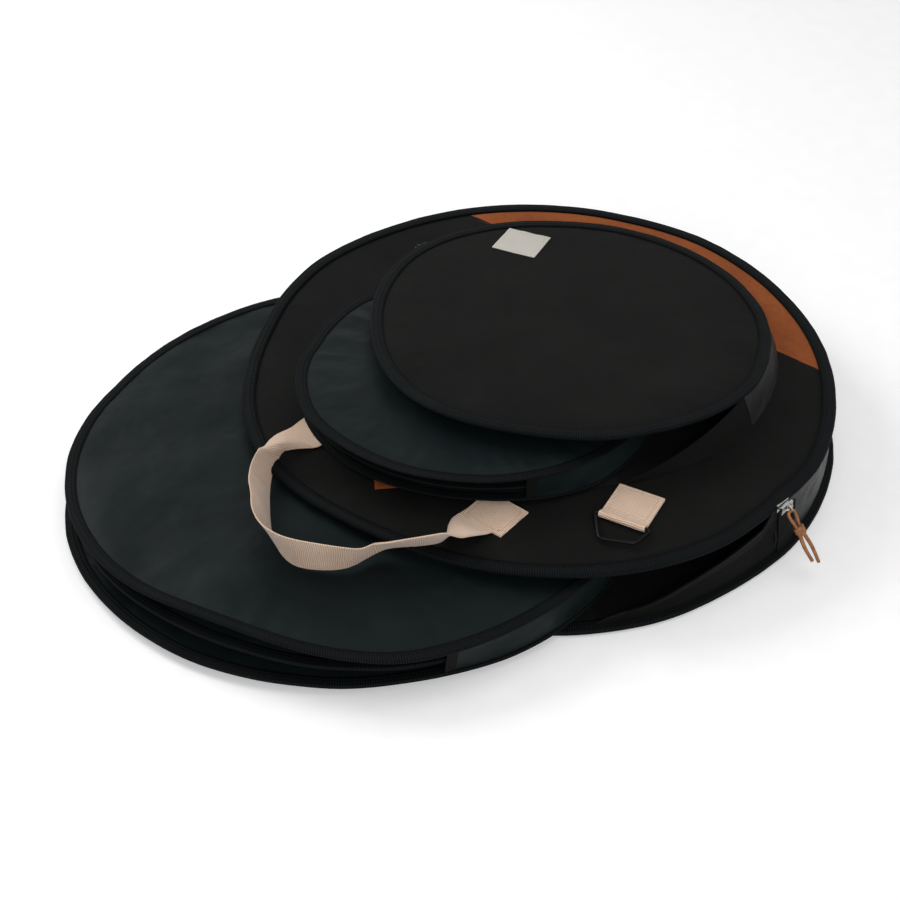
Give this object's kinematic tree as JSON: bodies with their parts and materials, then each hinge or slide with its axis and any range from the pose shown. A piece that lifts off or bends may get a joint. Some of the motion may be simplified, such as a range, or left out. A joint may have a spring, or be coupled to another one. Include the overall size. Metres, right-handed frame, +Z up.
{
  "type": "cymbal bag",
  "caption": "Round padded cymbal bag lying open, with a front pocket, bound edges, webbing handle and two round page dividers drawn part way out.",
  "frame": {"origin": "centre of the back panel's underside, on the surface the bag lies on", "axes": "+Z up through the bag's thickness; -Y the way the mouth faces, +Y towards the fold that joins cover and back; +X to the right seen from the mouth"},
  "size_m": [0.691, 0.765, 0.1179],
  "materials": {
    "outer_fabric": "matt woven synthetic, padded",
    "grosgrain": "ribbed binding tape",
    "gusset_nylon": "slightly shiny coated nylon",
    "divider_nylon": "semi-gloss coated nylon, quilted over a thin pad",
    "canvas": "waxed cotton canvas, caramel",
    "webbing": "heavy cotton webbing, beige",
    "label_cotton": "plain cream cotton, left bare",
    "zip_tape": "woven zip tape with a coil",
    "nickel": "nickel-plated zinc",
    "moulded_plastic": "moulded black acetal",
    "lace_leather": "brown cut lace"
  },
  "bodies": {
    "shell": {"back_panel": "outer_fabric", "back_panel_binding": "grosgrain", "hinge_gusset": "gusset_nylon", "mouth_gusset": "outer_fabric", "lower_zip_tape": "zip_tape", "folded_gusset": "outer_fabric", "folded_zip_tape": "zip_tape", "zip_end_patch": "outer_fabric"},
    "cover": {"front_panel": "outer_fabric", "accent_panel": "canvas", "accent_patch": "canvas", "front_panel_binding": "grosgrain", "upper_zip_tape": "zip_tape", "handle_end_left": "webbing", "handle_end_right": "webbing", "handle_bend_left": "webbing", "handle_bend_right": "webbing", "ring_tab": "webbing", "pocket_gusset": "gusset_nylon", "pocket_lip_left": "outer_fabric", "pocket_lip_right": "outer_fabric", "pocket_folded_lip": "zip_tape"},
    "pocket_lid": {"pocket_lid_panel": "outer_fabric", "pocket_lid_panel_binding": "grosgrain", "pocket_zip_tape": "zip_tape", "label_patch": "label_cotton"},
    "handle": {"handle_loop": "webbing"},
    "ring": {"ring": "moulded_plastic"},
    "large_divider": {"large_divider_gusset": "divider_nylon", "large_divider_lower_page": "divider_nylon", "large_divider_lower_page_binding": "grosgrain", "large_divider_middle_page": "divider_nylon", "large_divider_middle_page_binding": "grosgrain", "large_divider_upper_page": "divider_nylon", "large_divider_upper_page_binding": "grosgrain"},
    "small_divider": {"small_divider_gusset": "divider_nylon", "small_divider_lower_page": "divider_nylon", "small_divider_lower_page_binding": "grosgrain", "small_divider_middle_page": "divider_nylon", "small_divider_middle_page_binding": "grosgrain", "small_divider_upper_page": "divider_nylon", "small_divider_upper_page_binding": "grosgrain"},
    "zip_slider": {"main_zip_slider": "nickel"},
    "zip_puller": {"main_zip_link": "nickel", "main_zip_lace": "lace_leather"},
    "pocket_slider": {"pocket_zip_slider": "nickel"},
    "pocket_puller": {"pocket_zip_link": "nickel"}
  },
  "joints": [
    {"name": "cover_lift", "type": "hinge", "parent": "shell", "child": "cover", "pos_m": [0, 0.2942, 0.07756], "axis": [-1, 0, 0], "range_deg": [0, 10]},
    {"name": "large_divider_slide", "type": "slide", "parent": "shell", "child": "large_divider", "axis": [-0.3462, -0.9382, 0], "range_m": [-0.199, 0.3]},
    {"name": "main_zip_travel", "type": "hinge", "parent": "cover", "child": "zip_slider", "pos_m": [0, 0, 0.0643], "axis": [0, 0.045, -0.999], "range_deg": [0, 173], "deforming": ["main_zip_lace"]},
    {"name": "main_puller_swing", "type": "hinge", "parent": "zip_slider", "child": "zip_puller", "pos_m": [0.30408, -0.01867, 0.06546], "axis": [-0.0611, -0.9971, -0.0449], "range_deg": [0, 60]},
    {"name": "handle_swing", "type": "hinge", "parent": "cover", "child": "handle", "pos_m": [0, -0.19302, 0.06041], "axis": [-1, 0, 0], "range_deg": [0, 60], "deforming": ["handle_bend_left", "handle_bend_right"]},
    {"name": "ring_swing", "type": "hinge", "parent": "cover", "child": "ring", "pos_m": [0.20295, -0.13055, 0.06653], "axis": [-0.9816, -0.1906, -0.0086], "range_deg": [0, 160]},
    {"name": "pocket_lid_lift", "type": "hinge", "parent": "cover", "child": "pocket_lid", "pos_m": [0.0085, 0.24606, 0.09289], "axis": [-1, 0, 0], "range_deg": [0, 12]},
    {"name": "pocket_zip_travel", "type": "hinge", "parent": "pocket_lid", "child": "pocket_slider", "pos_m": [0.0085, 0.04431, 0.10293], "axis": [0, 0.0497, 0.9988], "range_deg": [0, 186]},
    {"name": "pocket_puller_swing", "type": "hinge", "parent": "pocket_slider", "child": "pocket_puller", "pos_m": [-0.20336, 0.05548, 0.10408], "axis": [0.0523, 0.9974, -0.0497], "range_deg": [0, 60]},
    {"name": "small_divider_slide", "type": "slide", "parent": "cover", "child": "small_divider", "axis": [-0.225, -0.9734, -0.0439], "range_m": [-0.113, 0.045]}
  ]
}
